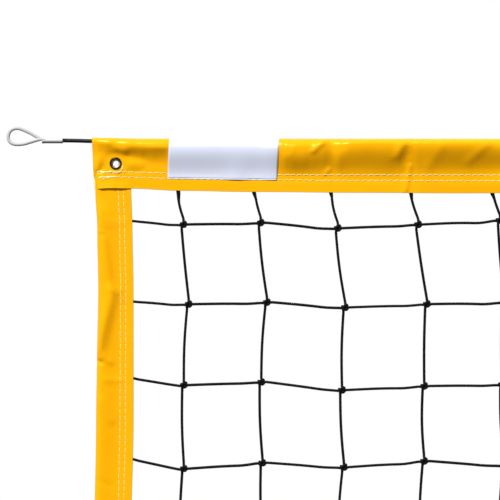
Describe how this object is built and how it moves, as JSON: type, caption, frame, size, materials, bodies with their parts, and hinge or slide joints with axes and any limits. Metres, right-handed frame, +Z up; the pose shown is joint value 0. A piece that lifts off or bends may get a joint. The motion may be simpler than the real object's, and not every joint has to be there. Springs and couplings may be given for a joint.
{
  "type": "volleyball net",
  "caption": "Beach volleyball net: knotted cord mesh bound with folded vinyl tapes and hung from a sheathed head cable with crimped eyes.",
  "frame": {"origin": "seat in the left cable eye, where a post's hook bears, on the head cable's axis", "axes": "+X along the head cable to the right eye, +Z up, the label side faces -Y"},
  "size_m": [8.733, 0.0178, 1.0249],
  "materials": {
    "vinyl": "satin PVC-coated fabric, golden yellow",
    "cord": "twisted black polyethylene",
    "sheath": "satin black cable sheath",
    "coat": "clear coat over steel wire",
    "aluminium": "pressed",
    "nickel": "nickel plated",
    "label": "satin white sheet",
    "thread": "white sewing thread"
  },
  "bodies": {
    "post_ends": {"left_eye": "coat", "left_ferrule": "aluminium", "left_sleeve": "coat", "right_eye": "coat", "right_ferrule": "aluminium", "right_sleeve": "coat"},
    "cable": {"head_cable": "sheath"},
    "net": {"head_tape": "vinyl", "foot_tape": "vinyl", "left_side_tape": "vinyl", "right_side_tape": "vinyl", "net_mesh": "cord", "label_patch": "label", "top_left_eyelet": "nickel", "top_left_washer": "nickel", "top_right_eyelet": "nickel", "top_right_washer": "nickel", "bottom_left_eyelet": "nickel", "bottom_left_washer": "nickel", "bottom_right_eyelet": "nickel", "bottom_right_washer": "nickel"},
    "foot_line": {"foot_cord": "cord"}
  },
  "joints": [
    {"name": "cable_turn", "type": "hinge", "parent": "post_ends", "child": "cable", "pos_m": [0.0655, 0, 0], "axis": [1, 0, 0], "range_deg": [-90, 90]},
    {"name": "net_slide", "type": "slide", "parent": "cable", "child": "net", "axis": [1, 0, 0], "range_m": [-0.036, 0.036]},
    {"name": "foot_cord_slide", "type": "slide", "parent": "net", "child": "foot_line", "axis": [1, 0, 0], "range_m": [-0.011, 0.011]}
  ]
}
